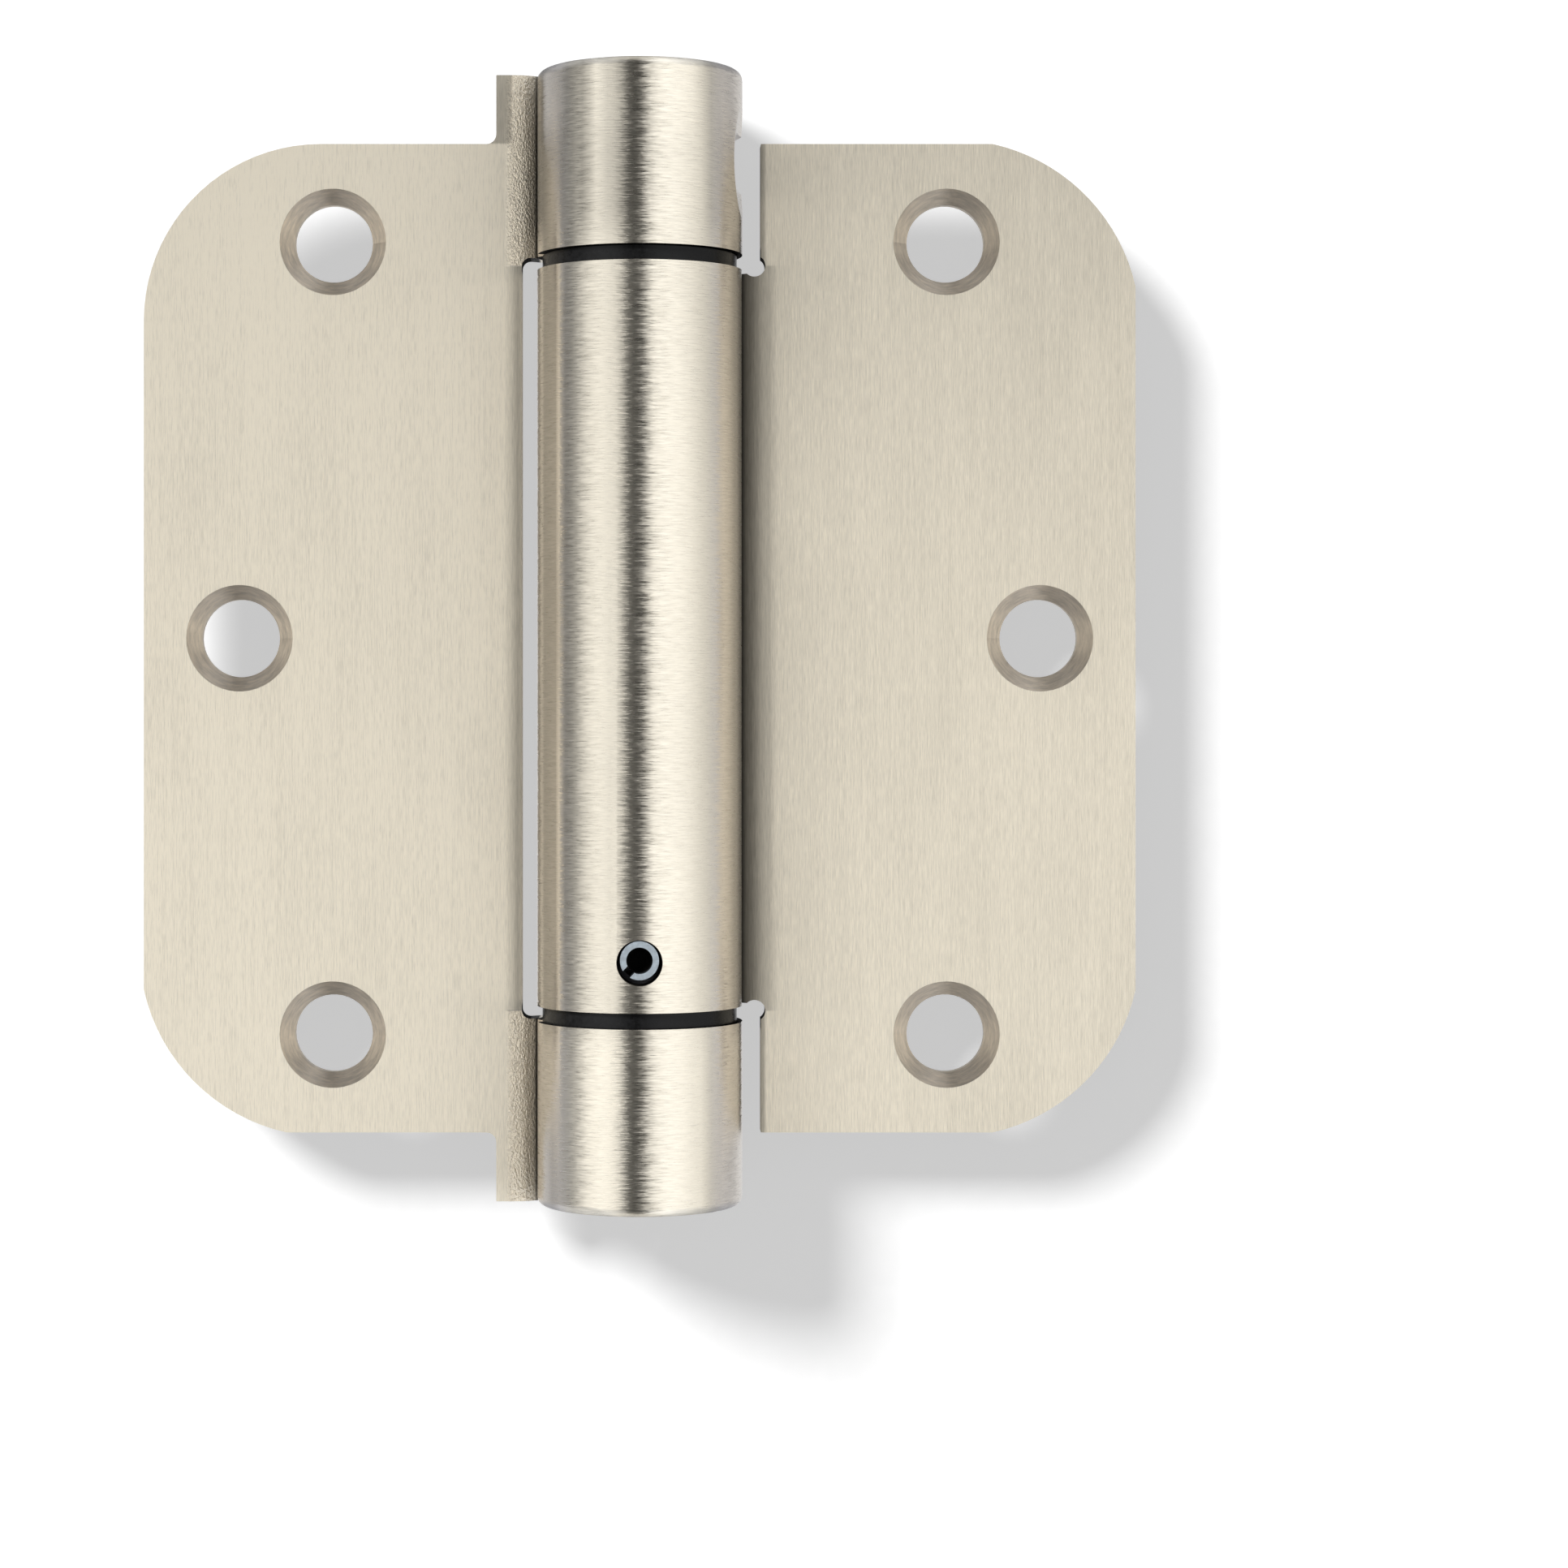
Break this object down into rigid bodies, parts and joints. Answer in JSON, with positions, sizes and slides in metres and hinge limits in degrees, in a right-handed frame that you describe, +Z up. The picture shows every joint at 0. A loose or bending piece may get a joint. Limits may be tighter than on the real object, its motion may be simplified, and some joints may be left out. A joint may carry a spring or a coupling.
{
  "type": "spring loaded door hinge",
  "caption": "Self closing butt hinge with two leaves with rounded corners, a rolled barrel that holds a torsion spring, black bearing bushes and a tension adjuster.",
  "frame": {"origin": "on the barrel's axis at mid height, which is the centre of the overall box with the leaves flat open", "axes": "+Z up along the barrel's axis, +X from the frame leaf towards the door leaf, -Y towards the viewer, the side of the countersinks and of the barrel"},
  "size_m": [0.0892, 0.0184, 0.1014],
  "materials": {
    "leaf_steel": "satin nickel plate, brushed",
    "bearing_plastic": "moulded black nylon",
    "turned_steel": "turned steel, zinc plated",
    "zinc_steel": "bright zinc plate",
    "spring_steel": "oiled spring wire"
  },
  "bodies": {
    "frame_side": {"frame_leaf": "leaf_steel", "lower_bearing": "bearing_plastic", "bottom_plug": "turned_steel"},
    "door_side": {"door_leaf": "leaf_steel", "upper_bearing": "bearing_plastic", "lower_spindle": "turned_steel", "roll_pin": "zinc_steel", "torsion_spring": "spring_steel"},
    "adjuster": {"tension_adjuster": "turned_steel"},
    "lock_pin": {"tension_pin": "zinc_steel"}
  },
  "joints": [
    {"name": "leaf_swing", "type": "hinge", "parent": "frame_side", "child": "door_side", "pos_m": [0, 0, 0], "axis": [0, 0, 1], "range_deg": [-180, 0], "deforming": ["torsion_spring"]},
    {"name": "tension_turn", "type": "hinge", "parent": "frame_side", "child": "adjuster", "pos_m": [0, 0, 0.04245], "axis": [0, 0, 1], "range_deg": [-64, 7], "deforming": ["torsion_spring"]},
    {"name": "tension_pin_pull", "type": "slide", "parent": "adjuster", "child": "lock_pin", "axis": [0.6483, 0.7614, 0], "range_m": [0, 0.003]}
  ]
}
